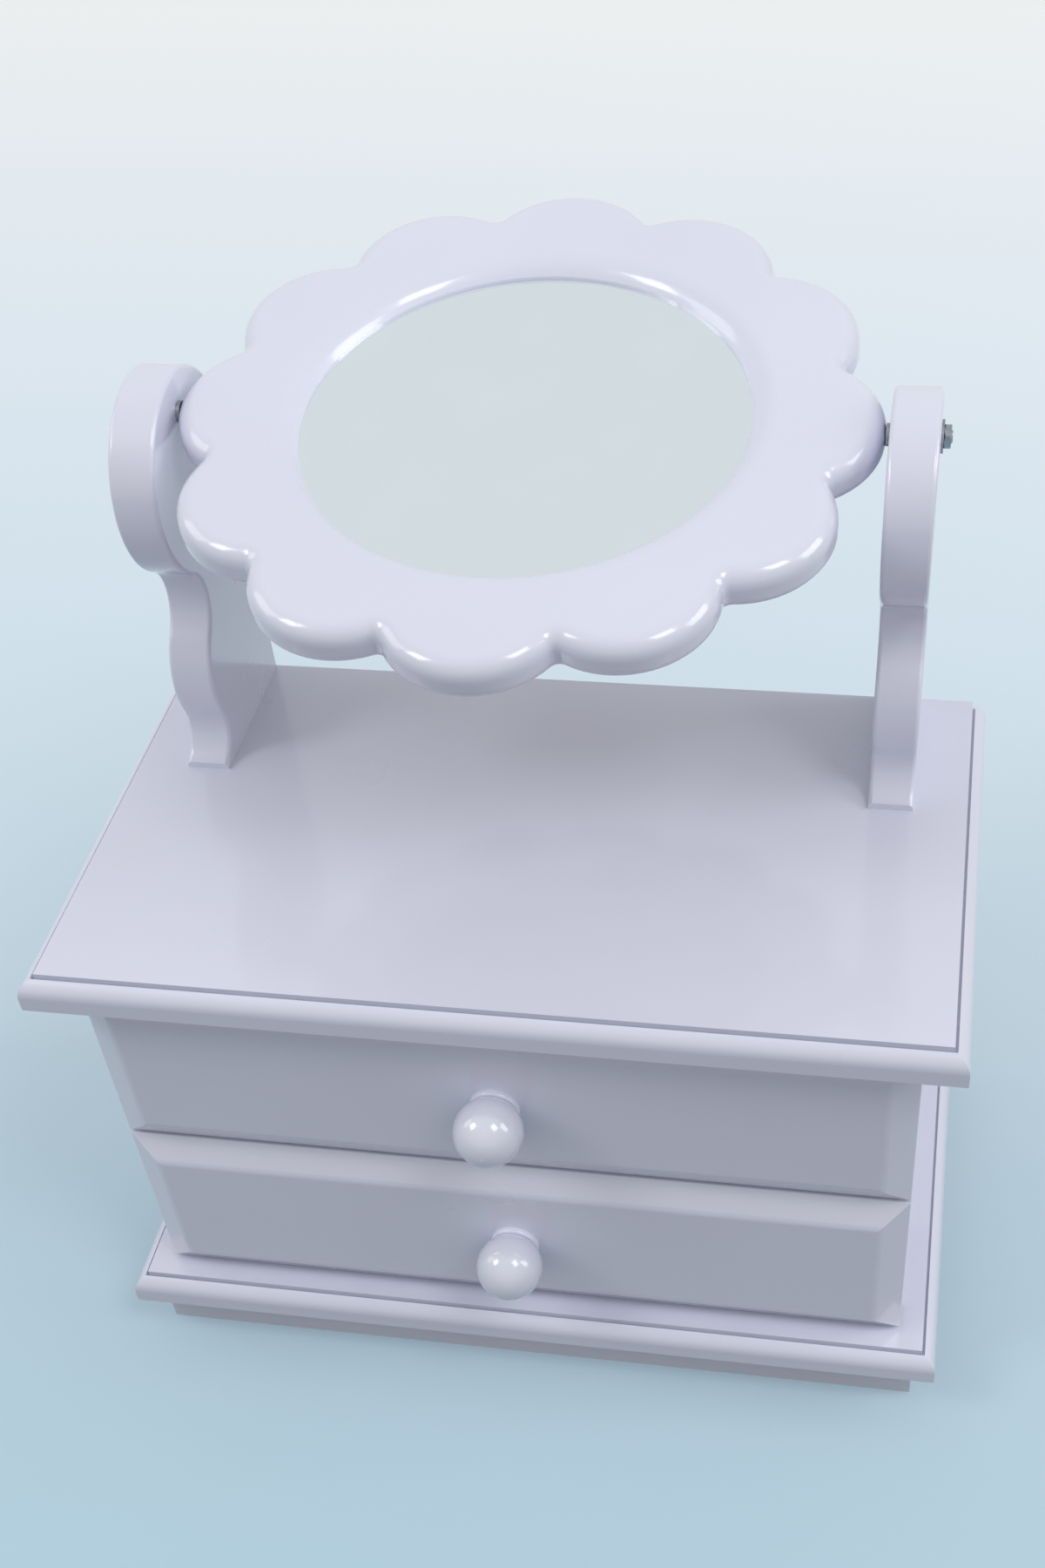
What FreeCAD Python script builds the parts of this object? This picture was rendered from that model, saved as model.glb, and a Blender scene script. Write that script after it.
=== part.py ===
"""White vanity box: two drawers between moulded boards, and a lobed mirror that turns between two posts.

Millimetres. +X is right, +Y is back, +Z is up. The origin is on the floor, under the middle of the boards.
"""
import FreeCAD, Part
import Sketcher
import math
import os
import re

Vector = FreeCAD.Vector
Rotation = FreeCAD.Rotation
X_AXIS = Vector(1, 0, 0)
Y_AXIS = Vector(0, 1, 0)
Z_AXIS = Vector(0, 0, 1)

# Driving dimensions: name, size, what it is
SIZES = [
    ("board_width", 300, "top and base board, side to side"),
    ("board_depth", 172, "top and base board, front to back"),
    ("board_thick", 12, "top and base board"),
    ("lip_inset", 5, "edge of the flat field, in from the edge of the board"),
    ("lip_drop", 1.2, "top of the nose, below the field"),
    ("nose_round", 6, "rounding of the nose, above the upright edge of the board"),
    ("quirk_width", 1, "groove between field and nose"),
    ("quirk_depth", 3, "groove between field and nose, below the field"),
    ("plinth_height", 20, "plinth under the base board"),
    ("plinth_inset", 8, "plinth, in from the front and sides of the base board"),
    ("board_overhang", 13.5, "boards, beyond the body on each side"),
    ("body_height", 148, "from base board to top board"),
    ("side_thick", 12, "side panels"),
    ("back_thick", 4, "back panel"),
    ("back_setback", 3, "back panel, in from the back of the boards"),
    ("rebate_width", 6, "seat of the back panel in each side panel"),
    ("front_setback", 13.5, "rim of the drawer fronts, behind the front of the boards"),
    ("shelf_thick", 6, "shelf under the upper drawer"),
    ("housing_depth", 4, "shelf's groove in each side panel"),
    ("rim_thick", 10, "drawer front at its rim"),
    ("rim_round", 0.8, "rounding of a drawer front's rim"),
    ("bevel_rise", 5.5, "field of a drawer front, proud of its rim"),
    ("bevel_width", 9.6, "sloping border of a drawer front"),
    ("field_round", 5, "rounding between the field of a drawer front and its border"),
    ("front_gap", 1.5, "gap over, under and between the drawer fronts"),
    ("wall_thick", 8, "sides and back of a drawer"),
    ("headroom", 10, "gap over the sides and back of a drawer"),
    ("bottom_thick", 3, "drawer bottom"),
    ("bottom_lift", 4, "drawer bottom, above the lower edge of the walls"),
    ("groove_depth", 4, "groove that holds the drawer bottom"),
    ("side_gap", 1, "running gap on each side of a drawer"),
    ("rear_gap", 6, "gap behind a closed drawer"),
    ("slide_gap", 0.2, "running gap under a drawer and behind its front"),
    ("knob_radius", 11.6, "ball of a knob"),
    ("knob_stand", 10.8, "middle of the ball, in front of the drawer's field"),
    ("collar_radius", 8.7, "collar of a knob"),
    ("collar_thick", 2, "collar of a knob"),
    ("knob_screw_radius", 2, "shank of a knob's screw"),
    ("knob_screw_bite", 9, "screw's length inside the knob"),
    ("pan_radius", 4, "head of a knob's screw"),
    ("pan_height", 2.4, "head of a knob's screw"),
    ("post_thick", 15, "posts"),
    ("post_inset", 23, "outer faces of the posts, in from the ends of the boards"),
    ("post_round", 1.5, "rounding of a post's edges"),
    ("foot_edge", 2.3, "upright front edge of a post's foot"),
    ("foot_share", 0.28, "front of the foot to the post's axis, as a share of the height of the head"),
    ("ankle_share", 0.123, "hollow above the foot, as a share of the height of the head"),
    ("belly_share", 0.243, "radius of the swelling, as a share of the height of the head"),
    ("belly_rise", 0.306, "height of the swelling, as a share of the height of the head"),
    ("neck_share", 0.158, "hollow under the head, as a share of the height of the head"),
    ("head_share", 0.325, "radius of the head, as a share of its height"),
    ("pivot_rise", 20.8, "axis of the mirror, above the middle of the head"),
    ("swing_gap", 11.6, "between the turning mirror and the top board"),
    ("mirror_tilt", 80.3, "mirror, leaning back from upright, in degrees"),
    ("frame_thick", 13, "mirror frame"),
    ("lobe_count", 12, "lobes round the mirror frame"),
    ("lobe_share", 0.264, "radius of a lobe, as a share of the frame's reach"),
    ("notch_radius", 2.5, "hollow between two lobes"),
    ("opening_share", 0.634, "radius of the frame's opening, as a share of the frame's reach"),
    ("face_round", 6, "front outer edge of the mirror frame"),
    ("rear_round", 4, "rear outer edge of the mirror frame"),
    ("lip_round", 9, "front inner edge of the mirror frame"),
    ("lip_edge", 0.8, "upright edge of the lip, in front of the glass"),
    ("glass_setback", 5.2, "glass, behind the front of its frame"),
    ("glass_lap", 4.5, "glass, behind the lip of its frame"),
    ("glass_thick", 3, "mirror glass"),
    ("backing_thick", 2, "board behind the glass"),
    ("glass_gap", 0.5, "gap round the glass and its backing"),
    ("pin_count", 6, "pins that hold the backing"),
    ("pin_radius", 0.5, "pins that hold the backing"),
    ("pin_bite", 5, "each pin's length in the frame, and over the backing"),
    ("bolt_radius", 2, "pivot bolts"),
    ("bolt_bite", 22, "pivot bolt's length inside the frame"),
    ("bolt_end", 0.4, "pivot bolt, beyond its nut"),
    ("bolt_gap", 0.08, "running gap round a pivot bolt in its post"),
    ("spacer_thick", 1.4, "washer between frame and post"),
    ("spacer_radius", 3.4, "washer between frame and post"),
    ("washer_thick", 0.8, "washer under the nut"),
    ("washer_radius", 5, "washer under the nut"),
    ("nut_radius", 4, "nut, over its corners"),
    ("nut_thick", 2.2, "nut"),
    ("screw_radius", 1.75, "shank of the wood screws"),
    ("screw_head", 3.6, "head of the wood screws"),
    ("screw_tip", 4, "point of the wood screws"),
    ("screw_recess", 1, "screw heads, above the underside of the plinth"),
    ("screw_bite", 22, "wood screws, in the piece that they hold"),
    ("screw_inset", 28, "screws and dowels, in from the ends of a side panel"),
    ("post_screw_inset", 14, "screws, in from the front and back of a post's foot"),
    ("dowel_radius", 3, "dowels between side panels and top board"),
    ("dowel_bite_top", 6, "dowel, in the top board"),
    ("dowel_bite_side", 16, "dowel, in the side panel"),
    ("hole_gap", 0.1, "gap round screws, dowels and pins"),
]

# Places worked out from the driving dimensions
PLACES = {
    "body_width": "board_width - 2 * board_overhang",
    "base_field": "plinth_height + board_thick",
    "top_under": "base_field + body_height",
    "top_field": "top_under + board_thick",
    "board_front": "-board_depth / 2",
    "board_back": "board_depth / 2",
    "bead_width": "lip_inset - quirk_width",
    "rim_front": "board_front + front_setback",
    "field_front": "rim_front - bevel_rise",
    "front_rear": "rim_front + rim_thick",
    "carcass_front": "front_rear + slide_gap",
    "carcass_back": "board_back - back_setback",
    "back_inner": "carcass_back - back_thick",
    "side_inner": "body_width / 2 - side_thick",
    "front_height": "(body_height - 3 * front_gap) / 2",
    "drawer_pitch": "front_height + front_gap",
    "wall_height": "drawer_pitch - shelf_thick - slide_gap - headroom",
    "drawer_half": "side_inner - side_gap",
    "drawer_rear": "back_inner - rear_gap",
    "wall_inner": "drawer_half - wall_thick",
    "side_middle": "body_width / 2 - side_thick / 2",
    "post_outer": "board_width / 2 - post_inset",
    "post_inner": "post_outer - post_thick",
    "post_middle": "post_outer - post_thick / 2",
    "frame_reach": "post_inner - spacer_thick",
    "lobe_radius": "lobe_share * frame_reach",
    "lobe_centre": "frame_reach - lobe_radius",
    "opening_radius": "opening_share * frame_reach",
    "pivot_height": "frame_reach + swing_gap",
    "pivot_level": "top_field + pivot_height",
    "head_height": "pivot_height - pivot_rise",
    "foot_reach": "foot_share * head_height",
    "ankle_radius": "ankle_share * head_height",
    "belly_radius": "belly_share * head_height",
    "belly_height": "belly_rise * head_height",
    "neck_radius": "neck_share * head_height",
    "head_radius": "head_share * head_height",
    "post_axis": "board_back - head_radius",
    "post_front": "post_axis - foot_reach",
    "frame_front": "frame_thick / 2",
    "ledge": "frame_front - glass_setback",
    "glass_radius": "opening_radius + glass_lap",
    "glass_rear": "ledge - glass_thick",
    "backing_rear": "glass_rear - backing_thick",
    "nut_outer": "post_outer + washer_thick + nut_thick",
    "screw_sink": "screw_head - screw_radius",
    "shelf_top": "base_field + drawer_pitch",
    "shelf_under": "shelf_top - shelf_thick",
}

# How far a cutting shape runs past the face that it opens
CUT_PAST = 1.0

doc = FreeCAD.newDocument("vanity_box")
sheet = doc.addObject("Spreadsheet::Sheet", "Sizes")
for row, (alias, number, meaning) in enumerate(SIZES, start=1):
    sheet.set("A%d" % row, alias)
    sheet.set("B%d" % row, str(number))
    sheet.set("C%d" % row, meaning)
    sheet.setAlias("B%d" % row, alias)
doc.recompute()
ALIASES = {alias for alias, number, meaning in SIZES}
nodes = []


# Binding sizes and places to the sheet

def formula(text):
    """A text in plain names, as an expression on the sheet."""
    def spell(match):
        name = match.group()
        if name in PLACES:
            return "(" + formula(PLACES[name]) + ")"
        return "Sizes." + name if name in ALIASES else name
    return re.sub(r"[a-z]\w*", spell, text)


def value(text):
    """The number that a text in plain names comes to."""
    return float(sheet.evalExpression(formula(text)))


def bind(thing, **texts):
    for prop, text in texts.items():
        thing.setExpression(prop, formula(text))
    return thing


def put(thing, x, y, z, turn=Rotation()):
    """Turns a thing and binds its place."""
    thing.Placement = FreeCAD.Placement(Vector(), turn)
    for axis, text in zip("xyz", (x, y, z)):
        thing.setExpression("Placement.Base." + axis, formula(text))
    return thing


def put_on_mirror(thing):
    """Places a thing that is drawn flat about the pivot, facing up, on the leaning mirror."""
    put(thing, "0", "post_axis", "pivot_level", Rotation(X_AXIS, 1))
    thing.setExpression("Placement.Rotation.Angle", formula("90 - mirror_tilt"))
    return thing


# Shapes that the sub-parts are made from

ALONG = {"x": Rotation(Y_AXIS, 90), "y": Rotation(X_AXIS, -90), "-y": Rotation(X_AXIS, 90), "z": Rotation()}


def box(name, low, high):
    """A board between two corners."""
    thing = doc.addObject("Part::Box", name)
    sizes = ["(%s) - (%s)" % (b, a) for a, b in zip(low, high)]
    bind(thing, Length=sizes[0], Width=sizes[1], Height=sizes[2])
    return put(thing, *low)


def rod(name, radius, length, start, along):
    thing = doc.addObject("Part::Cylinder", name)
    bind(thing, Radius=radius, Height=length)
    return put(thing, *start, turn=ALONG[along])


def cone(name, radius, end_radius, length, start, along):
    thing = doc.addObject("Part::Cone", name)
    bind(thing, Radius1=radius, Radius2=end_radius, Height=length)
    return put(thing, *start, turn=ALONG[along])


def group(name, things):
    thing = doc.addObject("Part::Compound", name)
    thing.Links = things
    return thing


def join(name, things):
    thing = doc.addObject("Part::MultiFuse", name)
    thing.Shapes = things
    return thing


def cut(name, base, tools):
    thing = doc.addObject("Part::Cut", name)
    thing.Base = base
    thing.Tool = tools[0] if len(tools) == 1 else group(name + "_cutters", tools)
    return thing


def across(half):
    """Left and right ends of a thing that is centred on the box."""
    return "-(%s)" % half, half


def span(sign, inner, outer):
    """Left and right ends of a thing on the right (1) or left (-1) of the box."""
    return (inner, outer) if sign > 0 else ("-(%s)" % outer, "-(%s)" % inner)


def node(thing):
    """Marks a thing as a sub-part."""
    nodes.append(thing)
    return thing


def sketch(body, name, role):
    """An empty sketch on one of a body's own planes."""
    drawing = body.newObject("Sketcher::SketchObject", name)
    plane = [feature for feature in body.Origin.OriginFeatures if feature.Role == role][0]
    drawing.AttachmentSupport = (plane, "")
    drawing.MapMode = "FlatFace"
    return drawing


def line(drawing, start, end):
    drawing.addGeometry(Part.LineSegment(Vector(*start), Vector(*end)))


def arc(drawing, start, middle, end):
    drawing.addGeometry(Part.ArcOfCircle(Vector(*start), Vector(*middle), Vector(*end)))


def chain(drawing, points):
    """Straight lines from point to point."""
    for start, end in zip(points, points[1:]):
        line(drawing, start, end)


def circle(drawing, radius):
    ring = drawing.addGeometry(Part.Circle(Vector(), Z_AXIS, value(radius)))
    size = drawing.addConstraint(Sketcher.Constraint("Radius", ring, value(radius)))
    drawing.setExpression("Constraints[%d]" % size, formula(radius))


def pad(body, name, drawing, length, midplane=False):
    feature = body.newObject("PartDesign::Pad", name)
    feature.Profile = drawing
    feature.Midplane = midplane
    return bind(feature, Length=length)


def pocket_through(body, name, drawing):
    feature = body.newObject("PartDesign::Pocket", name)
    feature.Profile = drawing
    feature.Type = "ThroughAll"
    feature.Midplane = True
    return feature


def revolve(body, name, drawing):
    """Turns a drawing right round its upright axis."""
    turned = body.newObject("PartDesign::Revolution", name)
    turned.Profile = drawing
    turned.ReferenceAxis = (drawing, ["V_Axis"])
    turned.Angle = 360
    return body


def edges_where(feature, test):
    """Names of the edges whose every point passes a test."""
    found = []
    for number, edge in enumerate(feature.Shape.Edges, start=1):
        points = [vertex.Point for vertex in edge.Vertexes] + [edge.valueAt(sum(edge.ParameterRange) / 2)]
        if all(test(point) for point in points):
            found.append("Edge%d" % number)
    return found


def near(a, b):
    return abs(a - b) < 1e-4


def round_edges(body, name, base, radius, test):
    """Rounds the edges of a body's feature that pass a test."""
    doc.recompute()
    feature = body.newObject("PartDesign::Fillet", name)
    feature.Base = (base, edges_where(base, test))
    return bind(feature, Radius=radius)


def fillet(name, base, radius, test):
    """Rounds the edges of a shape that pass a test."""
    doc.recompute()
    rounded = doc.addObject("Part::Fillet", name)
    rounded.Base = base
    size = value(radius)
    rounded.Edges = [(int(edge[4:]), size, size) for edge in edges_where(base, test)]
    return rounded


def outer_meeting(centre_a, radius_a, centre_b, radius_b):
    """The point with the larger first coordinate where two circles meet."""
    apart = math.dist(centre_a, centre_b)
    along = (apart ** 2 + radius_a ** 2 - radius_b ** 2) / (2 * apart)
    aside = math.sqrt(radius_a ** 2 - along ** 2)
    step = ((centre_b[0] - centre_a[0]) / apart, (centre_b[1] - centre_a[1]) / apart)
    foot = (centre_a[0] + along * step[0], centre_a[1] + along * step[1])
    ends = [(foot[0] + side * aside * step[1], foot[1] - side * aside * step[0]) for side in (1, -1)]
    return max(ends)


def towards(start, end, distance):
    """The point a distance from start, on the line to end."""
    share = distance / math.dist(start, end)
    return (start[0] + share * (end[0] - start[0]), start[1] + share * (end[1] - start[1]))


# Moulded boards

def moulded_board(name, level):
    """A board with a rounded nose over an upright edge on the front and sides, and a plain back."""
    thick = value("board_thick")
    inset = value("lip_inset")
    bead = value("bead_width")
    bead_top = thick - value("lip_drop")
    half = value("board_width / 2")
    front = value("board_front")
    nose = value("nose_round")
    nose_low = bead_top - math.sqrt(nose ** 2 - (nose - bead) ** 2)
    nose_middle = towards((-nose, nose_low), (-bead / 2, (nose_low + bead_top) / 2), nose)
    body = doc.addObject("PartDesign::Body", name)
    section = sketch(body, name + "_section", "XZ_Plane")
    for side in (1, -1):
        edge = side * half
        line(section, (edge, 0), (edge, nose_low))
        arc(section, (edge, nose_low), (edge + side * nose_middle[0], nose_middle[1]),
            (edge - side * bead, bead_top))
        chain(section, [(edge - side * bead, bead_top), (edge - side * inset, bead_top),
                        (edge - side * inset, thick)])
    line(section, (half - inset, thick), (inset - half, thick))
    line(section, (half, 0), (-half, 0))
    pad(body, name + "_pad", section, "board_depth", midplane=True)
    waste = sketch(body, name + "_front_waste", "YZ_Plane")
    arc(waste, (front, nose_low), (front - nose_middle[0], nose_middle[1]), (front + bead, bead_top))
    chain(waste, [(front + bead, bead_top), (front + inset, bead_top),
                  (front + inset, thick + CUT_PAST), (front - CUT_PAST, thick + CUT_PAST),
                  (front - CUT_PAST, nose_low), (front, nose_low)])
    pocket_through(body, name + "_front_nose", waste)
    return put(body, "0", "0", level)


def quirk(name, level):
    """The groove between nose and field, along the front and both sides of a board."""
    low = "%s + board_thick - quirk_depth" % level
    high = "%s + board_thick" % level
    front = "board_front + lip_inset"
    left, right = across("board_width / 2 - bead_width")
    grooves = [box(name + "_front", (left, "board_front + bead_width", low), (right, front, high))]
    for side, sign in (("right", 1), ("left", -1)):
        left, right = span(sign, "board_width / 2 - lip_inset", "board_width / 2 - bead_width")
        grooves.append(box(name + "_" + side, (left, front, low), (right, "board_back", high)))
    return join(name, grooves)


# Screws and dowels

def wood_screw(name, start, length, extra, recess):
    """A countersunk screw that points up, or with extra room and a recess the hole for it."""
    x, y, z = start
    shank = "screw_radius + " + extra
    head = "screw_head + " + extra
    neck = "%s + screw_sink" % z
    tip = "%s + %s - screw_tip" % (z, length)
    pieces = [
        cone(name + "_head", head, shank, "screw_sink", start, "z"),
        rod(name + "_shank", shank, "%s - screw_sink - screw_tip" % length, (x, y, neck), "z"),
        cone(name + "_tip", shank, "screw_radius / 4", "screw_tip", (x, y, tip), "z"),
    ]
    if recess:
        pieces.append(rod(name + "_recess", head, "screw_recess", (x, y, "%s - screw_recess" % z), "z"))
    return join(name, pieces)


def screw_set(name, spots, level, length, recess):
    """Screws at some spots, and the holes for them."""
    screws = []
    holes = []
    for number, (x, y) in enumerate(spots, start=1):
        label = "%s_%d" % (name, number)
        screws.append(wood_screw(label, (x, y, level), length, "0", False))
        holes.append(wood_screw(label + "_hole", (x, y, level), length, "hole_gap", recess))
    return node(group(name, screws)), holes


def dowel_set(name, spots):
    """Dowels from the side panels up into the top board, and the holes for them."""
    low = "top_under - dowel_bite_side"
    length = "dowel_bite_side + dowel_bite_top"
    dowels = []
    holes = []
    for number, (x, y) in enumerate(spots, start=1):
        label = "%s_%d" % (name, number)
        dowels.append(rod(label, "dowel_radius", length, (x, y, low), "z"))
        hole_low = low + " - hole_gap"
        hole_length = length + " + 2 * hole_gap"
        holes.append(rod(label + "_hole", "dowel_radius + hole_gap", hole_length, (x, y, hole_low), "z"))
    return node(group(name, dowels)), holes


side_spots = [(x, y) for x in ("-(side_middle)", "side_middle")
              for y in ("carcass_front + screw_inset", "carcass_back - screw_inset")]
post_spots = [(x, y) for x in ("-(post_middle)", "post_middle")
              for y in ("post_front + post_screw_inset", "board_back - post_screw_inset")]
base_screws, base_screw_holes = screw_set(
    "base_screws", side_spots, "screw_recess", "base_field - screw_recess + screw_bite", True)
post_screws, post_screw_holes = screw_set(
    "post_screws", post_spots, "top_under", "board_thick + screw_bite", False)
top_dowels, top_dowel_holes = dowel_set("top_dowels", side_spots)


# Body of the box

def plinth():
    low = ("plinth_inset - board_width / 2", "board_front + plinth_inset", "0")
    high = ("board_width / 2 - plinth_inset", "carcass_back", "plinth_height")
    return node(cut("plinth", box("plinth_blank", low, high), base_screw_holes))


def boards():
    base = moulded_board("base_board_blank", "plinth_height")
    top = moulded_board("top_board_blank", "top_under")
    base_quirk = quirk("base_board_quirk", "plinth_height")
    top_quirk = quirk("top_board_quirk", "top_under")
    node(cut("base_board", base, [base_quirk] + base_screw_holes))
    node(cut("top_board", top, [top_quirk] + top_dowel_holes + post_screw_holes))


def side_panel(side, sign):
    """An upright panel, rebated for the back and housed for the shelf."""
    name = "side_" + side
    low, high = span(sign, "side_inner", "body_width / 2")
    panel = box(name + "_blank", (low, "carcass_front", "base_field"), (high, "carcass_back", "top_under"))
    low, high = span(sign, "side_inner", "side_inner + rebate_width")
    rebate = box(name + "_rebate", (low, "back_inner", "base_field"), (high, "carcass_back", "top_under"))
    low, high = span(sign, "side_inner", "side_inner + housing_depth")
    housing = box(name + "_housing", (low, "carcass_front", "shelf_under"),
                  (high, "back_inner", "shelf_top"))
    spots = slice(2, 4) if sign > 0 else slice(0, 2)
    return node(cut(name, panel, [rebate, housing] + base_screw_holes[spots] + top_dowel_holes[spots]))


def back_panel():
    left, right = across("side_inner + rebate_width")
    return node(box("back_panel", (left, "back_inner", "base_field"), (right, "carcass_back", "top_under")))


def drawer_shelf():
    left, right = across("side_inner + housing_depth")
    low = (left, "carcass_front", "shelf_under")
    return node(box("drawer_shelf", low, (right, "back_inner", "shelf_top")))


# Drawers

def drawer_front(name, floor, middle):
    """A slab with a bevelled border round its field, grooved for the bottom and drilled for the knob."""
    low = "%s + front_gap" % floor
    slab = box(name + "_slab", ("-body_width / 2", "rim_front", low),
               ("body_width / 2", "front_rear", low + " + front_height"))
    field = doc.addObject("Part::Wedge", name + "_field")
    bind(field, Xmin="-body_width / 2", Xmax="body_width / 2", Ymin="0", Ymax="bevel_rise", Zmin="0",
         Zmax="front_height", X2min="bevel_width - body_width / 2", X2max="body_width / 2 - bevel_width",
         Z2min="bevel_width", Z2max="front_height - bevel_width")
    put(field, "0", "rim_front", low, Rotation(Z_AXIS, 180))
    blank = join(name + "_blank", [slab, field])
    rim = value("rim_front")
    face = value("field_front")
    soft = fillet(name + "_soft", blank, "field_round", lambda p: near(p.y, face))
    rounded = fillet(name + "_rounded", soft, "rim_round", lambda p: near(p.y, rim))
    left, right = across("wall_inner + groove_depth")
    groove_low = floor + " + slide_gap + bottom_lift"
    groove = box(name + "_groove", (left, "front_rear - groove_depth", groove_low),
                 (right, "front_rear", groove_low + " + bottom_thick"))
    hole = rod(name + "_hole", "knob_screw_radius + hole_gap", "front_rear - (field_front)",
               ("0", "field_front", middle), "y")
    return node(cut(name, rounded, [groove, hole]))


def drawer_side(name, floor, sign):
    """A side wall with a groove for the bottom."""
    low = floor + " + slide_gap"
    left, right = span(sign, "wall_inner", "drawer_half")
    wall = box(name + "_blank", (left, "front_rear", low), (right, "drawer_rear", low + " + wall_height"))
    left, right = span(sign, "wall_inner", "wall_inner + groove_depth")
    groove = box(name + "_groove", (left, "front_rear", low + " + bottom_lift"),
                 (right, "drawer_rear", low + " + bottom_lift + bottom_thick"))
    return node(cut(name, wall, [groove]))


def drawer_back(name, floor):
    low = floor + " + slide_gap"
    wall = box(name + "_blank", ("-(wall_inner)", "drawer_rear - wall_thick", low),
               ("wall_inner", "drawer_rear", low + " + wall_height"))
    groove_low = low + " + bottom_lift"
    groove = box(name + "_groove", ("-(wall_inner)", "drawer_rear - wall_thick", groove_low),
                 ("wall_inner", "drawer_rear - wall_thick + groove_depth", groove_low + " + bottom_thick"))
    return node(cut(name, wall, [groove]))


def drawer_bottom(name, floor):
    low = floor + " + slide_gap + bottom_lift"
    left, right = across("wall_inner + groove_depth")
    return node(box(name, (left, "front_rear - groove_depth", low),
                    (right, "drawer_rear - wall_thick + groove_depth", low + " + bottom_thick")))


def knob(name, middle):
    """A turned ball on a collar, drilled for its screw, with its axis upright until it is placed."""
    ball = value("knob_radius")
    stand = value("knob_stand")
    collar = value("collar_radius")
    thick = value("collar_thick")
    hole = value("knob_screw_radius + hole_gap")
    deep = value("knob_screw_bite + hole_gap")
    waist = math.sqrt(ball ** 2 - (stand - thick) ** 2)
    soft = thick / 2
    bend = math.sqrt(0.5) * soft
    body = doc.addObject("PartDesign::Body", name)
    profile = sketch(body, name + "_profile", "XZ_Plane")
    chain(profile, [(0, stand + ball), (0, deep), (hole, deep), (hole, 0), (collar, 0), (collar, soft)])
    arc(profile, (collar, soft), (collar - soft + bend, soft + bend), (collar - soft, thick))
    line(profile, (collar - soft, thick), (waist, thick))
    arc(profile, (waist, thick), (ball, stand), (0, stand + ball))
    revolve(body, name + "_turned", profile)
    return node(put(body, "0", "field_front", middle, ALONG["-y"]))


def knob_screw(name, middle):
    """A pan-headed screw from the inside of the drawer into the knob."""
    head = rod(name + "_head", "pan_radius", "pan_height", ("0", "front_rear + pan_height", middle), "-y")
    shank = rod(name + "_shank", "knob_screw_radius", "front_rear - field_front + knob_screw_bite",
                ("0", "front_rear", middle), "-y")
    return node(join(name, [head, shank]))


def drawer(name, floor):
    middle = "%s + front_gap + front_height / 2" % floor
    drawer_front(name + "_front", floor, middle)
    drawer_side(name + "_side_left", floor, -1)
    drawer_side(name + "_side_right", floor, 1)
    drawer_back(name + "_back", floor)
    drawer_bottom(name + "_bottom", floor)
    knob(name + "_knob", middle)
    knob_screw(name + "_knob_screw", middle)


# Posts

def post_outline(drawing):
    """A post from the side: shaped front, round head and straight back, about the axis of its head."""
    foot = value("foot_reach")
    head_radius = value("head_radius")
    belly_radius = value("belly_radius")
    ankle_radius = value("ankle_radius")
    neck_radius = value("neck_radius")
    belly = (0.0, value("belly_height"))
    head = (0.0, value("head_height"))
    toe = (foot, value("foot_edge"))
    ankle = outer_meeting(belly, belly_radius + ankle_radius, toe, ankle_radius)
    neck = outer_meeting(belly, belly_radius + neck_radius, head, head_radius + neck_radius)
    ankle_end = towards(belly, ankle, belly_radius)
    belly_end = towards(belly, neck, belly_radius)
    neck_end = towards(head, neck, head_radius)

    def front_arc(centre, radius, start, end):
        middle = towards(centre, ((start[0] + end[0]) / 2, (start[1] + end[1]) / 2), radius)
        arc(drawing, *[(-out, up) for out, up in (start, middle, end)])
    front_arc(ankle, ankle_radius, toe, ankle_end)
    front_arc(belly, belly_radius, ankle_end, belly_end)
    front_arc(neck, neck_radius, belly_end, neck_end)
    arc(drawing, (-neck_end[0], neck_end[1]), (0, head[1] + head_radius), (head_radius, head[1]))
    chain(drawing, [(head_radius, head[1]), (head_radius, 0), (-foot, 0), (-foot, toe[1])])


def post(side, sign):
    """A board sawn to a foot, belly, neck and round head, with softened edges."""
    name = "post_" + side
    body = doc.addObject("PartDesign::Body", name + "_blank")
    outline = sketch(body, name + "_outline", "YZ_Plane")
    post_outline(outline)
    blank = pad(body, name + "_pad", outline, "post_thick")
    thick = value("post_thick")
    round_edges(body, name + "_soft", blank, "post_round",
                lambda p: (near(p.x, 0) or near(p.x, thick)) and not near(p.z, 0))
    left = span(sign, "post_inner", "post_outer")[0]
    put(body, left, "post_axis", "top_field")
    start = (left, "post_axis", "pivot_level")
    bore = rod(name + "_bore", "bolt_radius + bolt_gap", "post_thick", start, "x")
    spots = slice(2, 4) if sign > 0 else slice(0, 2)
    return node(cut(name, body, [bore] + post_screw_holes[spots]))


# Mirror, drawn flat about the pivot with its face up

def lobed_outline(drawing):
    """Lobes round a circle, with a small hollow between each two."""
    count = round(value("lobe_count"))
    lobe = value("lobe_radius")
    notch = value("notch_radius")
    lobe_centre = value("lobe_centre")
    reach = value("frame_reach")
    half_step = math.pi / count
    notch_centre = (lobe_centre * math.cos(half_step)
                    + math.sqrt((lobe + notch) ** 2 - (lobe_centre * math.sin(half_step)) ** 2))

    def at(radius, angle):
        return (radius * math.cos(angle), radius * math.sin(angle))
    for number in range(count):
        angle = 2 * half_step * number
        middle = at(lobe_centre, angle)
        before = towards(middle, at(notch_centre, angle - half_step), lobe)
        after = towards(middle, at(notch_centre, angle + half_step), lobe)
        next_middle = at(lobe_centre, angle + 2 * half_step)
        beyond = towards(next_middle, at(notch_centre, angle + half_step), lobe)
        arc(drawing, before, at(reach, angle), after)
        arc(drawing, after, at(notch_centre - notch, angle + half_step), beyond)


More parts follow.
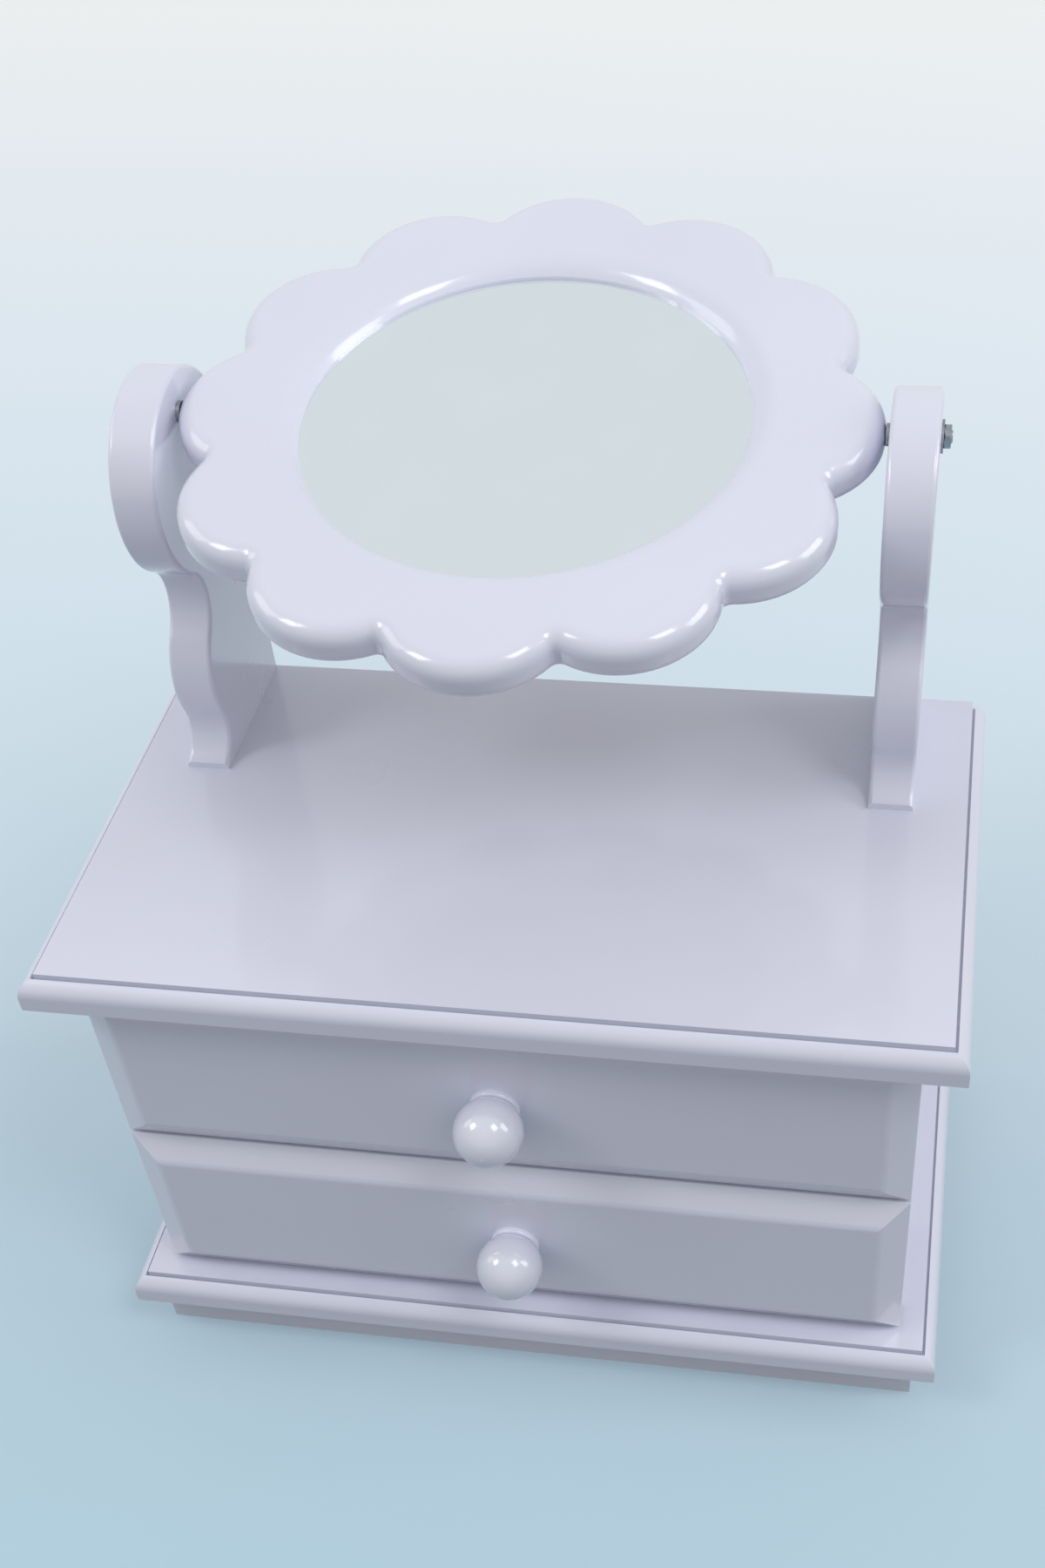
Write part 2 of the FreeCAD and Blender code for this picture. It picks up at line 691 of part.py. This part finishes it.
def mirror_opening():
    """What is cut from the frame in front of the glass: a round hole that widens in an arc to the face."""
    radius = value("opening_radius")
    lip = value("lip_round")
    front = value("frame_front")
    ledge = value("ledge")
    edge = value("ledge + lip_edge")
    centre = (radius + math.sqrt(lip ** 2 - (lip - front + edge) ** 2), front - lip)
    start = (radius, edge)
    end = (centre[0], front)
    body = doc.addObject("PartDesign::Body", "mirror_opening")
    profile = sketch(body, "mirror_opening_profile", "XZ_Plane")
    arc(profile, start, towards(centre, ((start[0] + end[0]) / 2, (start[1] + end[1]) / 2), lip), end)
    chain(profile, [end, (0, front), (0, ledge), (radius, ledge), start])
    return revolve(body, "mirror_opening_turned", profile)


def mirror_frame():
    body = doc.addObject("PartDesign::Body", "mirror_frame_blank")
    outline = sketch(body, "mirror_frame_outline", "XY_Plane")
    lobed_outline(outline)
    ring = pad(body, "mirror_frame_pad", outline, "frame_thick", midplane=True)
    front = value("frame_front")
    faced = round_edges(body, "mirror_frame_face", ring, "face_round", lambda p: near(p.z, front))
    round_edges(body, "mirror_frame_rear", faced, "rear_round", lambda p: near(p.z, -front))
    rear = ("0", "0", "-(frame_front)")
    rebate = rod("mirror_rebate", "glass_radius + glass_gap", "ledge + frame_front", rear, "z")
    holes = [mirror_opening(), rebate] + pins("mirror_pin_hole", "hole_gap")
    for side, start in (("right", "frame_reach - bolt_bite - hole_gap"), ("left", "-(frame_reach)")):
        holes.append(rod("mirror_bolt_hole_" + side, "bolt_radius + hole_gap", "bolt_bite + hole_gap",
                         (start, "0", "0"), "x"))
    return node(put_on_mirror(cut("mirror_frame", body, holes)))


def pins(name, extra):
    """Pins that lie on the backing and run into the frame, or with extra room the holes for them."""
    count = round(value("pin_count"))
    made = []
    for number in range(count):
        turn = 360.0 * (number + 0.5) / count
        pin = doc.addObject("Part::Cylinder", "%s_%d" % (name, number + 1))
        bind(pin, Radius="pin_radius + " + extra, Height="2 * pin_bite + " + extra)
        start = "glass_radius + glass_gap - pin_bite"
        put(pin, "(%s) * cos(%f)" % (start, turn), "(%s) * sin(%f)" % (start, turn),
            "backing_rear - pin_radius - hole_gap", Rotation(Z_AXIS, turn) * ALONG["x"])
        made.append(pin)
    return made


def disc(name, radius, thick, low):
    """A round plate that lies in the mirror frame."""
    body = doc.addObject("PartDesign::Body", name)
    outline = sketch(body, name + "_outline", "XY_Plane")
    outline.setExpression("AttachmentOffset.Base.z", formula(low))
    circle(outline, radius)
    pad(body, name + "_pad", outline, thick)
    return node(put_on_mirror(body))


# Pivots

def pivot_bolt(side, sign):
    length = "bolt_bite + spacer_thick + post_thick + washer_thick + nut_thick + bolt_end"
    start = "frame_reach - bolt_bite" if sign > 0 else "-(nut_outer) - bolt_end"
    return node(rod("pivot_bolt_" + side, "bolt_radius", length, (start, "post_axis", "pivot_level"), "x"))


def washers(name, radius, thick, inner):
    """A washer on each pivot bolt, its inner face so far from the middle of the box."""
    made = []
    for side, start in (("right", inner), ("left", "-(%s) - %s" % (inner, thick))):
        place = (start, "post_axis", "pivot_level")
        blank = rod("%s_%s_blank" % (name, side), radius, thick, place, "x")
        hole = rod("%s_%s_hole" % (name, side), "bolt_radius + hole_gap", thick, place, "x")
        made.append(cut("%s_%s" % (name, side), blank, [hole]))
    return node(group(name, made))


def nuts():
    """A hexagon nut on the outer end of each pivot bolt."""
    made = []
    for side, start in (("right", "nut_outer - nut_thick"), ("left", "-(nut_outer)")):
        place = (start, "post_axis", "pivot_level")
        blank = doc.addObject("Part::Prism", "pivot_nut_%s_blank" % side)
        blank.Polygon = 6
        bind(blank, Circumradius="nut_radius", Height="nut_thick")
        put(blank, *place, turn=ALONG["x"])
        hole = rod("pivot_nut_%s_hole" % side, "bolt_radius + hole_gap", "nut_thick", place, "x")
        made.append(cut("pivot_nut_" + side, blank, [hole]))
    return node(group("pivot_nuts", made))


plinth()
boards()
side_panel("left", -1)
side_panel("right", 1)
back_panel()
drawer_shelf()
drawer("lower", "base_field")
drawer("upper", "base_field + drawer_pitch")
post("left", -1)
post("right", 1)
mirror_frame()
disc("mirror_glass", "glass_radius", "glass_thick", "glass_rear")
disc("mirror_backing", "glass_radius", "backing_thick", "backing_rear")
node(put_on_mirror(group("backing_pins", pins("backing_pin", "0"))))
pivot_bolt("left", -1)
pivot_bolt("right", 1)
washers("pivot_spacers", "spacer_radius", "spacer_thick", "frame_reach")
washers("pivot_washers", "washer_radius", "washer_thick", "post_outer")
nuts()
doc.recompute()

# Checking and writing

for thing in doc.Objects:
    if "Invalid" in thing.State or "Error" in thing.State:
        raise RuntimeError("%s failed: %s" % (thing.Label, thing.State))
for thing in nodes:
    if thing.Shape.isNull() or not thing.Shape.isValid() or not thing.Shape.Solids:
        raise RuntimeError("%s has no sound shape" % thing.Label)
os.makedirs("parts", exist_ok=True)
for thing in nodes:
    thing.Shape.exportStep("parts/%s.step" % thing.Label)
    print("%-24s %2d solids %10.1f mm3" % (thing.Label, len(thing.Shape.Solids), thing.Shape.Volume))
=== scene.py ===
import math

import bmesh
import bpy
from mathutils import Matrix, Vector


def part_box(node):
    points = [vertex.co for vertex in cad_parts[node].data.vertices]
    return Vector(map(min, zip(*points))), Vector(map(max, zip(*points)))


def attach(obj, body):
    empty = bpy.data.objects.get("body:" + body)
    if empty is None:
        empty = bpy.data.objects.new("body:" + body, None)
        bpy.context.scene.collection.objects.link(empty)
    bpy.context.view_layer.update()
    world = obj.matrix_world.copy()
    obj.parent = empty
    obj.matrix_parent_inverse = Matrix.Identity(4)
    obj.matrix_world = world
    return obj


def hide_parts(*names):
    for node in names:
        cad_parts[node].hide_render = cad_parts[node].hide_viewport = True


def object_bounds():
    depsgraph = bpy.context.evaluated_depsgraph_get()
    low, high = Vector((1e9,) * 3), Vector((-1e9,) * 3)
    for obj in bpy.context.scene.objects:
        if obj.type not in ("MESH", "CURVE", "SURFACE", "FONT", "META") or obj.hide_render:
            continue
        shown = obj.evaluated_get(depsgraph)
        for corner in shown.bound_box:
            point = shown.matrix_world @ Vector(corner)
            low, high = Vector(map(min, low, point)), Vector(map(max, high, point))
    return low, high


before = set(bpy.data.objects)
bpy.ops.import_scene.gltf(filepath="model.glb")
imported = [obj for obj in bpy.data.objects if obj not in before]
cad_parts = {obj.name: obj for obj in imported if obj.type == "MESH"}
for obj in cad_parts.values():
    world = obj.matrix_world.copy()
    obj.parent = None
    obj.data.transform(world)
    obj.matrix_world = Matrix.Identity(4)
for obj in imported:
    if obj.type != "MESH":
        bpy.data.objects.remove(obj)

cad_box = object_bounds()


# Materials

def colour(red, green, blue):
    """A colour given as a screen shows it, from 0 to 255, in linear light."""
    def linear(part):
        part = part / 255
        return part / 12.92 if part <= 0.04045 else ((part + 0.055) / 1.055) ** 2.4
    return (linear(red), linear(green), linear(blue), 1.0)


class Finish:
    """A procedural material. Its methods add nodes and give back the socket that comes out of them."""

    def __init__(self, name):
        self.material = bpy.data.materials.new(name)
        self.material.use_nodes = True
        self.nodes = self.material.node_tree.nodes
        self.links = self.material.node_tree.links
        self.surface = self.nodes["Principled BSDF"]
        self.place = self.nodes.new("ShaderNodeTexCoord").outputs["Object"]

    def put(self, socket, thing):
        """Links a node's output to a socket, or sets a plain value on the socket itself."""
        if isinstance(thing, bpy.types.NodeSocket):
            self.links.new(thing, socket)
        else:
            socket.default_value = thing

    def stretched(self, x, y, z):
        """The place on the object, scaled by axis."""
        mapping = self.nodes.new("ShaderNodeMapping")
        self.put(mapping.inputs["Vector"], self.place)
        mapping.inputs["Scale"].default_value = (x, y, z)
        return mapping.outputs["Vector"]

    def noise(self, scale, detail=3.0, roughness=0.5, place=None):
        noise = self.nodes.new("ShaderNodeTexNoise")
        self.put(noise.inputs["Vector"], place or self.place)
        noise.inputs["Scale"].default_value = scale
        noise.inputs["Detail"].default_value = detail
        noise.inputs["Roughness"].default_value = roughness
        return noise.outputs["Fac"]

    def specks(self, scale):
        """Distance from the nearest of many scattered points, in cells."""
        cells = self.nodes.new("ShaderNodeTexVoronoi")
        self.put(cells.inputs["Vector"], self.place)
        cells.inputs["Scale"].default_value = scale
        return cells.outputs["Distance"]

    def ramp(self, factor, *stops):
        """Turns a factor into a colour by stops of (position, colour)."""
        ramp = self.nodes.new("ShaderNodeValToRGB")
        self.put(ramp.inputs["Fac"], factor)
        elements = ramp.color_ramp.elements
        while len(elements) < len(stops):
            elements.new(0.5)
        for element, (position, shade) in zip(elements, stops):
            element.position = position
            element.color = shade
        return ramp.outputs["Color"]

    def fit(self, factor, low, high, to_low, to_high):
        """Maps a factor from one range to another, clamped."""
        fit = self.nodes.new("ShaderNodeMapRange")
        for name, thing in (("Value", factor), ("From Min", low), ("From Max", high),
                            ("To Min", to_low), ("To Max", to_high)):
            self.put(fit.inputs[name], thing)
        return fit.outputs["Result"]

    def maths(self, operation, first, second):
        maths = self.nodes.new("ShaderNodeMath")
        maths.operation = operation
        self.put(maths.inputs[0], first)
        self.put(maths.inputs[1], second)
        return maths.outputs["Value"]

    def mix(self, factor, first, second, blend="MIX"):
        mix = self.nodes.new("ShaderNodeMix")
        mix.data_type = "RGBA"
        mix.blend_type = blend
        colours = [socket for socket in mix.inputs if socket.type == "RGBA"]
        self.put(mix.inputs["Factor"], factor)
        self.put(colours[0], first)
        self.put(colours[1], second)
        return [socket for socket in mix.outputs if socket.type == "RGBA"][0]

    def bump(self, height, distance, strength):
        bump = self.nodes.new("ShaderNodeBump")
        self.put(bump.inputs["Height"], height)
        bump.inputs["Distance"].default_value = distance
        bump.inputs["Strength"].default_value = strength
        return bump.outputs["Normal"]

    def set(self, **things):
        """Sets the surface's own sockets, named with _ for a blank."""
        for name, thing in things.items():
            self.put(self.surface.inputs[name.replace("_", " ")], thing)
        return self.material


def white_paint():
    """Sprayed gloss enamel on board: cool white with a slightly wavy skin."""
    paint = Finish("paint_gloss_white")
    cloud = paint.noise(9.0, 2.0, 0.5)
    shade = paint.ramp(cloud, (0.3, colour(219, 220, 236)), (0.7, colour(222, 224, 240)))
    wave = paint.bump(paint.noise(40.0, 0.0, 0.4), 0.0004, 0.03)
    return paint.set(
        Base_Color=shade,
        Roughness=paint.fit(paint.noise(25.0, 2.0, 0.5), 0.0, 1.0, 0.25, 0.33),
        Coat_Weight=1.0,
        Coat_Roughness=0.09,
        Coat_Normal=wave)


def white_knob():
    """Turned and dipped knob: smoother than the boards."""
    paint = Finish("paint_knob_white")
    cloud = paint.noise(60.0, 3.0, 0.5)
    shade = paint.ramp(cloud, (0.3, colour(224, 226, 240)), (0.7, colour(228, 230, 243)))
    wave = paint.bump(paint.noise(160.0, 2.0, 0.4), 0.0003, 0.06)
    return paint.set(
        Base_Color=shade,
        Roughness=paint.fit(paint.noise(200.0, 2.0, 0.5), 0.3, 0.7, 0.2, 0.24),
        Normal=wave,
        Coat_Weight=1.0,
        Coat_Roughness=0.07,
        Coat_Normal=wave)


def raw_board():
    """Bare fibre board: fine felted fibres and darker flecks."""
    board = Finish("board_bare_fibre")
    fibre = board.noise(900.0, 4.0, 0.7)
    cloud = board.noise(30.0, 4.0, 0.6)
    shade = board.ramp(cloud, (0.25, colour(176, 146, 108)), (0.75, colour(196, 168, 130)))
    shade = board.mix(board.fit(fibre, 0.35, 0.75, 0.0, 0.45), shade, colour(146, 115, 80))
    fleck = board.fit(board.specks(420.0), 0.08, 0.2, 1.0, 0.0)
    shade = board.mix(board.maths("MULTIPLY", fleck, 0.35), shade, colour(120, 92, 62))
    return board.set(Base_Color=shade, Roughness=board.fit(fibre, 0.3, 0.7, 0.78, 0.92),
                     Normal=board.bump(fibre, 0.0002, 0.25))


def mirror_glass():
    """Silvered glass with a faint film of dust."""
    glass = Finish("glass_silvered")
    film = glass.noise(38.0, 5.0, 0.6)
    return glass.set(
        Base_Color=glass.ramp(film, (0.3, colour(238, 242, 242)), (0.75, colour(241, 245, 245))),
        Metallic=1.0,
        Roughness=glass.fit(film, 0.35, 0.8, 0.012, 0.03))


def hardboard():
    """Hardboard with the pressed screen pattern of its rear side."""
    board = Finish("hardboard_screened")
    screen = board.specks(900.0)
    cloud = board.noise(40.0, 4.0, 0.6)
    shade = board.ramp(cloud, (0.25, colour(96, 66, 42)), (0.75, colour(124, 90, 60)))
    shade = board.mix(board.fit(screen, 0.2, 0.6, 0.4, 0.0), shade, colour(70, 46, 28))
    return board.set(Base_Color=shade, Roughness=board.fit(cloud, 0.3, 0.7, 0.6, 0.75),
                     Normal=board.bump(screen, 0.0003, 0.4))


def steel(name, low, high, smooth, rough):
    """Plated steel with a mottled tone and fine scuffs."""
    metal = Finish(name)
    mottle = metal.noise(700.0, 4.0, 0.6)
    return metal.set(
        Base_Color=metal.ramp(mottle, (0.3, low), (0.7, high)),
        Metallic=1.0,
        Roughness=metal.fit(metal.noise(1500.0, 3.0, 0.6), 0.3, 0.7, smooth, rough),
        Normal=metal.bump(mottle, 0.00005, 0.15))


def dowel_wood():
    """Beech dowel with its grain along Z."""
    wood = Finish("wood_beech")
    grain = wood.noise(600.0, 4.0, 0.6, wood.stretched(1.0, 1.0, 0.05))
    shade = wood.ramp(grain, (0.3, colour(186, 142, 98)), (0.7, colour(214, 174, 130)))
    return wood.set(Base_Color=shade, Roughness=wood.fit(grain, 0.3, 0.7, 0.55, 0.7),
                    Normal=wood.bump(grain, 0.0001, 0.2))


finishes = {
    "white_paint": white_paint(),
    "white_knob": white_knob(),
    "raw_board": raw_board(),
    "mirror_glass": mirror_glass(),
    "hardboard": hardboard(),
    "dark_steel": steel("steel_dark", colour(150, 151, 157), colour(176, 177, 183), 0.3, 0.45),
    "zinc_steel": steel("steel_zinc", colour(160, 162, 164), colour(186, 188, 190), 0.25, 0.4),
    "dowel_wood": dowel_wood(),
}
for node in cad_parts.values():
    for slot in node.material_slots:
        slot.material = finishes[slot.material.name]


# Fasteners, each in the place of the plain one in the frame

MM = 0.001
SCREW_HEAD = 3.6 * MM
SCREW_SHANK = 1.75 * MM
SCREW_TIP = 4.0 * MM
PAN_HEAD = 4.0 * MM
PAN_HEIGHT = 2.4 * MM
KNOB_SHANK = 2.0 * MM
BOLT = 2.0 * MM
NUT_CORNER = 4.0 * MM
NUT_THICK = 2.2 * MM
DOWEL = 3.0 * MM
WOOD_PITCH = 1.6 * MM
METAL_PITCH = 0.7 * MM
RINGS_A_TURN = 6


def shell(name, rings, loop=False):
    """A closed mesh through rings of points, capped at both ends or joined from last to first."""
    count = len(rings[0])
    points = [point for circle in rings for point in circle]
    faces = []
    for row in range(len(rings) if loop else len(rings) - 1):
        low = row * count
        high = (row + 1) % len(rings) * count
        for turn in range(count):
            beside = (turn + 1) % count
            faces.append((low + turn, low + beside, high + beside, high + turn))
    if not loop:
        faces.append(tuple(reversed(range(count))))
        faces.append(tuple(range(len(points) - count, len(points))))
    mesh = bpy.data.meshes.new(name)
    mesh.from_pydata(points, [], faces)
    return mesh


def ring(height, radius, angles):
    """Points round the Z axis, the radius a length or a function of the angle."""
    found = []
    for angle in angles:
        reach = radius(angle) if callable(radius) else radius
        found.append((reach * math.cos(angle), reach * math.sin(angle), height))
    return found


def round_angles(count):
    return [2 * math.pi * step / count for step in range(count)]


def cross_angles(width, length):
    """Angles round a circle that hit every corner of a cross."""
    corner = math.atan2(width, length)
    quarter = [0.0, corner]
    for step in (1, 2, 3, 4, 5):
        quarter.append(corner + (math.pi / 2 - 2 * corner) * step / 6)
    quarter.append(math.pi / 2 - corner)
    return [angle + turn * math.pi / 2 for turn in range(4) for angle in quarter]


def cross(width, length):
    """Outline of a cross as a function of the angle."""
    def reach(angle):
        aside = angle % (math.pi / 2)
        aside = min(aside, math.pi / 2 - aside)
        return min(length / math.cos(aside), width / max(math.sin(aside), 1e-6))
    return reach


def thread(height, outer, core, pitch):
    """Radius of a thread at a height, as a function of the angle."""
    def reach(angle):
        turn = (height / pitch - angle / (2 * math.pi)) % 1.0
        return core + (outer - core) * (1.0 - abs(2.0 * turn - 1.0))
    return reach


def thread_rings(low, high, outer, core, pitch, angles):
    """Rings up a threaded length that fades in and out at its ends."""
    count = math.ceil(RINGS_A_TURN * (high - low) / pitch)
    found = []
    for step in range(count + 1):
        height = low + (high - low) * step / count
        fade = min(1.0, min(step, count - step) / RINGS_A_TURN)
        found.append(ring(height, thread(height, outer, outer - (outer - core) * fade, pitch), angles))
    return found


def recess(width, length, depth, angles):
    """Rings of a cross recess in a head whose face is at height 0, from its floor out."""
    return [ring(depth, cross(0.45 * width, 0.45 * length), angles),
            ring(0.6 * depth, cross(0.85 * width, 0.8 * length), angles),
            ring(0.0, cross(width, length), angles)]


def wood_screw(name, length):
    """A countersunk screw that points up, with a cross recess, a thread and a point."""
    width = 0.16 * SCREW_HEAD
    span = 0.55 * SCREW_HEAD
    angles = cross_angles(width, span)
    sink = SCREW_HEAD - SCREW_SHANK
    neck = sink + 0.3 * length
    rings = recess(width, span, 0.8 * sink, angles)
    rings += [ring(0.0, 0.97 * SCREW_HEAD, angles), ring(0.04 * SCREW_HEAD, SCREW_HEAD, angles),
              ring(sink, SCREW_SHANK, angles)]
    rings += thread_rings(neck, length - SCREW_TIP, SCREW_SHANK, 0.66 * SCREW_SHANK, WOOD_PITCH, angles)
    rings += [ring(length - 0.3 * SCREW_TIP, 0.5 * SCREW_SHANK, angles),
              ring(length, 0.1 * SCREW_SHANK, angles)]
    return shell(name, rings)


def pan_screw(name, length):
    """A pan-headed screw that points up from a domed head with a cross recess."""
    width = 0.15 * PAN_HEAD
    span = 0.55 * PAN_HEAD
    angles = cross_angles(width, span)
    rings = recess(width, span, 0.6 * PAN_HEIGHT, angles)
    for share, height in ((0.72, 0.04), (0.86, 0.14), (0.95, 0.3), (1.0, 0.55), (1.0, 1.0)):
        rings.append(ring(height * PAN_HEIGHT, share * PAN_HEAD, angles))
    rings.append(ring(PAN_HEIGHT, KNOB_SHANK, angles))
    rings += thread_rings(PAN_HEIGHT + 0.5 * MM, length - 0.6 * MM, KNOB_SHANK, 0.8 * KNOB_SHANK,
                          METAL_PITCH, angles)
    rings.append(ring(length, 0.7 * KNOB_SHANK, angles))
    return shell(name, rings)


def bolt(name, length):
    """A threaded rod with chamfered ends."""
    angles = round_angles(32)
    chamfer = 0.35 * MM
    rings = [ring(0.0, BOLT - chamfer, angles)]
    rings += thread_rings(chamfer, length - chamfer, BOLT, 0.84 * BOLT, METAL_PITCH, angles)
    rings.append(ring(length, BOLT - chamfer, angles))
    return shell(name, rings)


def nut(name):
    """A hexagon nut, chamfered on both faces, with corners along X."""
    angles = round_angles(96)
    flat = NUT_CORNER * math.cos(math.pi / 6)
    face = 0.95 * flat
    hole = BOLT + 0.1 * MM

    def hexagon(angle):
        aside = (angle + math.pi / 6) % (math.pi / 3) - math.pi / 6
        return flat / math.cos(math.pi / 6 - abs(aside))

    def shoulder(angle):
        return (hexagon(angle) - face) * math.tan(math.pi / 6)
    rows = []
    for far in (False, True):
        skin = ring(0.0, hexagon, angles)
        edge = NUT_THICK if far else 0.0
        inward = -1 if far else 1
        corner = [(x, y, edge + inward * shoulder(angle)) for (x, y, z), angle in zip(skin, angles)]
        rim = [ring(edge, hole + 0.3 * MM, angles), ring(edge, face, angles), corner]
        mouth = [ring(edge + inward * 0.3 * MM, hole, angles)]
        rows += reversed(mouth + rim) if far else mouth + rim
    return shell(name, rows, loop=True)


def dowel(name, length):
    """A fluted dowel with chamfered ends."""
    angles = round_angles(72)
    chamfer = 1.0 * MM

    def fluted(angle):
        return DOWEL * (0.97 + 0.03 * abs(math.cos(9 * angle)))
    rings = [ring(0.0, DOWEL - chamfer, angles), ring(chamfer, fluted, angles),
             ring(length - chamfer, fluted, angles), ring(length, DOWEL - chamfer, angles)]
    return shell(name, rings)


def smooth(mesh, degrees):
    """Shades a mesh smooth except over edges that are sharper than an angle."""
    mesh.shade_smooth()
    mesh.set_sharp_from_angle(angle=math.radians(degrees))


def assemble(name, node, body, slot, mesh, places):
    """One piece for a node: the same mesh at each of its places."""
    shape = bmesh.new()
    for place in places:
        copy = mesh.copy()
        copy.transform(place)
        shape.from_mesh(copy)
        bpy.data.meshes.remove(copy)
    bmesh.ops.recalc_face_normals(shape, faces=shape.faces)
    whole = bpy.data.meshes.new(name)
    shape.to_mesh(whole)
    shape.free()
    bpy.data.meshes.remove(mesh)
    smooth(whole, 35)
    whole.materials.append(finishes[slot])
    piece = bpy.data.objects.new(name, whole)
    bpy.context.scene.collection.objects.link(piece)
    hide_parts(node)
    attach(piece, body)


def corners(node, radius):
    """Upright axes of four round things that fill a node's box, at its lowest level."""
    low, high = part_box(node)
    return [Matrix.Translation((x, y, low.z)) for x in (low.x + radius, high.x - radius)
            for y in (low.y + radius, high.y - radius)]


def height_of(node):
    low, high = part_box(node)
    return high.z - low.z


def fasteners():
    for node in ("base_screws", "post_screws"):
        assemble(node + "_cut", node, "carcass", "zinc_steel", wood_screw(node, height_of(node)),
                 corners(node, SCREW_HEAD))
    assemble("top_dowels_fluted", "top_dowels", "carcass", "dowel_wood",
             dowel("top_dowels", height_of("top_dowels")), corners("top_dowels", DOWEL))
    for name in ("upper", "lower"):
        node = name + "_knob_screw"
        low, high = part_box(node)
        head = Matrix.Translation((0.0, high.y, (low.z + high.z) / 2))
        assemble(node + "_cut", node, name + "_drawer", "zinc_steel", pan_screw(node, high.y - low.y),
                 [head @ Matrix.Rotation(math.pi / 2, 4, "X")])
    along = Matrix.Rotation(math.pi / 2, 4, "Y")
    for side in ("left", "right"):
        node = "pivot_bolt_" + side
        low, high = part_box(node)
        middle = (low + high) / 2
        assemble(node + "_cut", node, "mirror", "dark_steel", bolt(node, high.x - low.x),
                 [Matrix.Translation((low.x, middle.y, middle.z)) @ along])
    low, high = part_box("pivot_nuts")
    middle = (low + high) / 2
    assemble("pivot_nuts_cut", "pivot_nuts", "mirror", "dark_steel", nut("pivot_nuts"),
             [Matrix.Translation((x, middle.y, middle.z)) @ along for x in (low.x, high.x - NUT_THICK)])


fasteners()


# Floor

def seen(nodes, links):
    """1 on what the camera sees directly or in something polished or clear, 0 on what only gives light."""
    path = nodes.new("ShaderNodeLightPath")
    either = path.outputs["Is Camera Ray"]
    for name in ("Is Glossy Ray", "Is Transmission Ray"):
        largest = nodes.new("ShaderNodeMath")
        largest.operation = "MAXIMUM"
        links.new(either, largest.inputs[0])
        links.new(path.outputs[name], largest.inputs[1])
        either = largest.outputs["Value"]
    return either


def floor_cover():
    """Pale floor, a little bluer towards the front, that throws little light back up."""
    cover = Finish("floor_pale")
    split = cover.nodes.new("ShaderNodeSeparateXYZ")
    cover.put(split.inputs["Vector"], cover.place)
    depth = cover.fit(split.outputs["Y"], FLOOR_NEAR, FLOOR_FAR, 0.0, 1.0)
    shade = cover.ramp(depth, (0.0, colour(163, 190, 204)), (0.3, colour(190, 207, 217)),
                       (0.6, colour(208, 218, 226)), (1.0, colour(228, 231, 232)))
    visible = seen(cover.nodes, cover.links)
    grain = cover.noise(240.0, 3.0, 0.5)
    return cover.set(
        Base_Color=cover.mix(visible, BOUNCE, shade),
        Roughness=cover.fit(grain, 0.3, 0.7, 0.8, 0.9),
        Specular_IOR_Level=0.1,
        Emission_Color=shade,
        Emission_Strength=cover.maths("MULTIPLY", visible, GLOW))


def floor():
    shape = bpy.data.meshes.new("floor")
    half = 6.0
    points = [(-half, -half, 0), (half, -half, 0), (half, half, 0), (-half, half, 0)]
    shape.from_pydata(points, [], [(0, 1, 2, 3)])
    shape.materials.append(floor_cover())
    plane = bpy.data.objects.new("floor", shape)
    bpy.context.scene.collection.objects.link(plane)


FLOOR_NEAR = -0.25
FLOOR_FAR = 1.3
BOUNCE = colour(84, 82, 92)
GLOW = 0.22
floor()


# Light

def lamp(name, place, width, height, power):
    """A soft rectangular lamp that faces the middle of the object."""
    light = bpy.data.lights.new(name, "AREA")
    light.shape = "RECTANGLE"
    light.size = width
    light.size_y = height
    light.energy = power
    holder = bpy.data.objects.new(name, light)
    holder.location = place
    target = (cad_box[0] + cad_box[1]) / 2
    holder.rotation_euler = (target - Vector(place)).to_track_quat("-Z", "Y").to_euler()
    bpy.context.scene.collection.objects.link(holder)


def surroundings():
    """A soft white room for light, that shows as a pale backdrop."""
    world = bpy.data.worlds.new("surroundings")
    bpy.context.scene.world = world
    world.use_nodes = True
    nodes = world.node_tree.nodes
    links = world.node_tree.links
    tint = nodes.new("ShaderNodeMix")
    tint.data_type = "RGBA"
    links.new(seen(nodes, links), tint.inputs["Factor"])
    colours = [socket for socket in tint.inputs if socket.type == "RGBA"]
    colours[0].default_value = (ROOM, ROOM, ROOM, 1.0)
    colours[1].default_value = colour(224, 230, 235)
    mixed = [socket for socket in tint.outputs if socket.type == "RGBA"][0]
    links.new(mixed, nodes["Background"].inputs["Color"])


ROOM = 0.59
lamp("window_left", (-2.1, -1.0, 2.5), 0.9, 1.1, 17.0)
lamp("window_right", (1.5, -1.0, 2.75), 0.9, 1.1, 16.0)
lamp("wall_left", (-3.0, 0.2, 1.9), 1.6, 1.6, 12.0)
lamp("wall_right", (3.0, 0.2, 1.9), 1.6, 1.6, 28.0)
surroundings()


# Camera at the photograph's angle

camera = bpy.data.cameras.new("camera")
camera.lens = 43.951
camera.sensor_width = 36.0
camera.shift_x = -0.0581
camera.shift_y = 0.1398
viewer = bpy.data.objects.new("camera", camera)
viewer.location = (0.12847, -0.47073, 0.61397)
viewer.rotation_euler = [math.radians(angle) for angle in (43.826, 3.139, 9.115)]
bpy.context.scene.collection.objects.link(viewer)
bpy.context.scene.camera = viewer
bpy.context.scene.view_settings.view_transform = "Standard"
